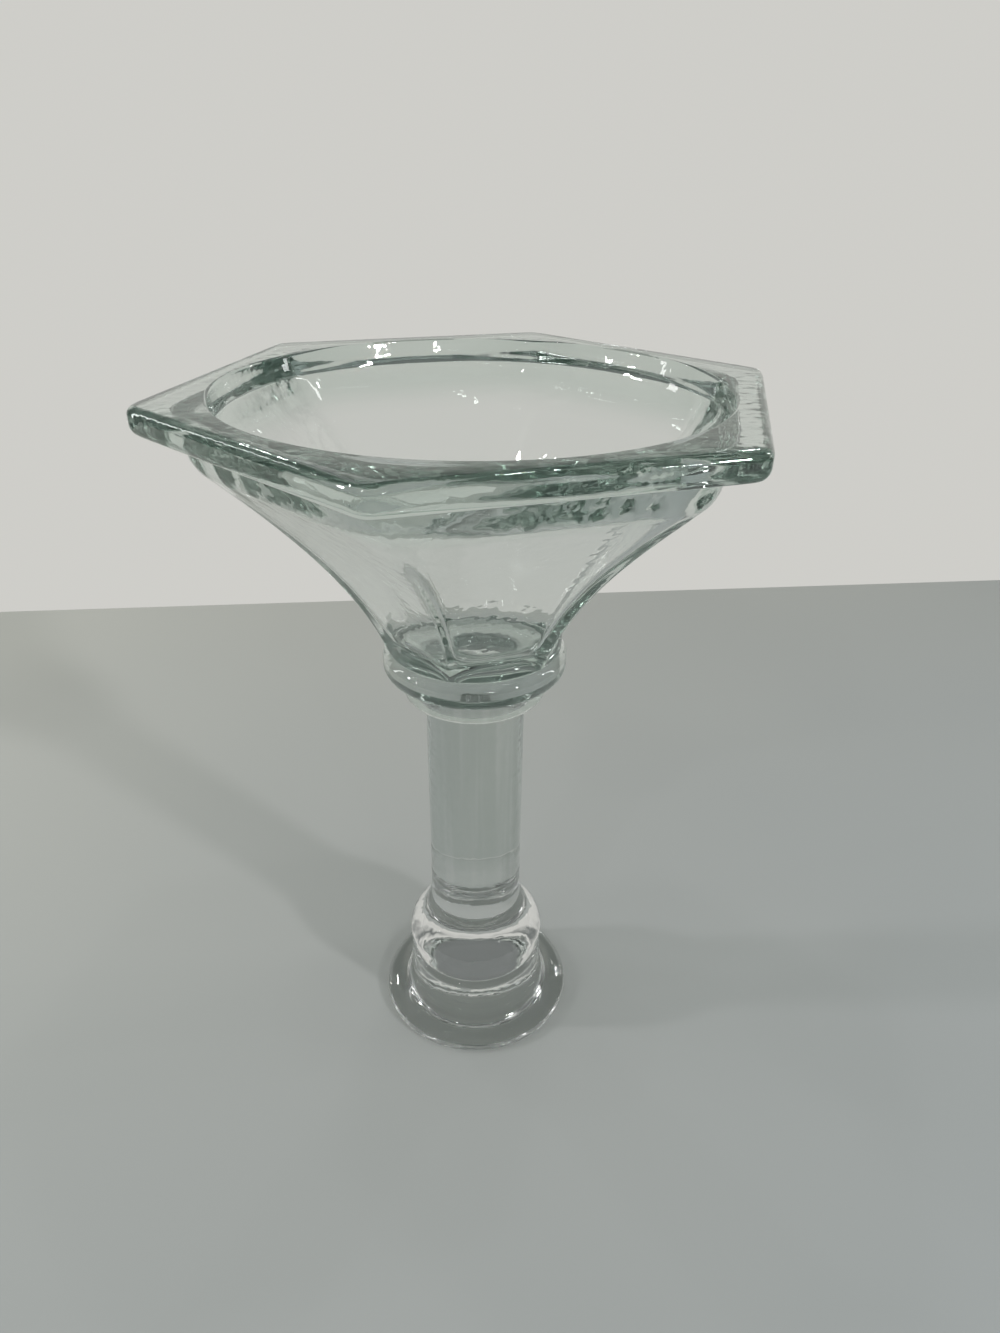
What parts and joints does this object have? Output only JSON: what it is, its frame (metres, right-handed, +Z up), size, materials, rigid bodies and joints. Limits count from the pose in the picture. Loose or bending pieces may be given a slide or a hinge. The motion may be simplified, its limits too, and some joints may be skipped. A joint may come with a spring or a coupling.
{
  "type": "pedestal votive holder",
  "caption": "Clear glass pedestal votive holder: a flared hexagonal bowl with a stepped rim, held by a collar on a round stem with a knop and a hollow bell foot.",
  "frame": {"origin": "centre of the foot's underside, on the plane it stands on", "axes": "+Z up along the stem to the bowl; two corners of the six-sided rim lie on X, so two of its flat sides face +Y and -Y"},
  "size_m": [0.1598, 0.14, 0.2061],
  "materials": {
    "white_glass": "fire-polished clear glass",
    "green_tinted_glass": "fire-polished clear glass with a faint green-grey tint"
  },
  "bodies": {
    "root": {"bell_foot": "white_glass", "stem_knop": "white_glass", "stem_rod": "white_glass", "stem_wafer": "white_glass", "bowl_collar": "green_tinted_glass", "hexagon_bowl": "green_tinted_glass"}
  },
  "joints": []
}
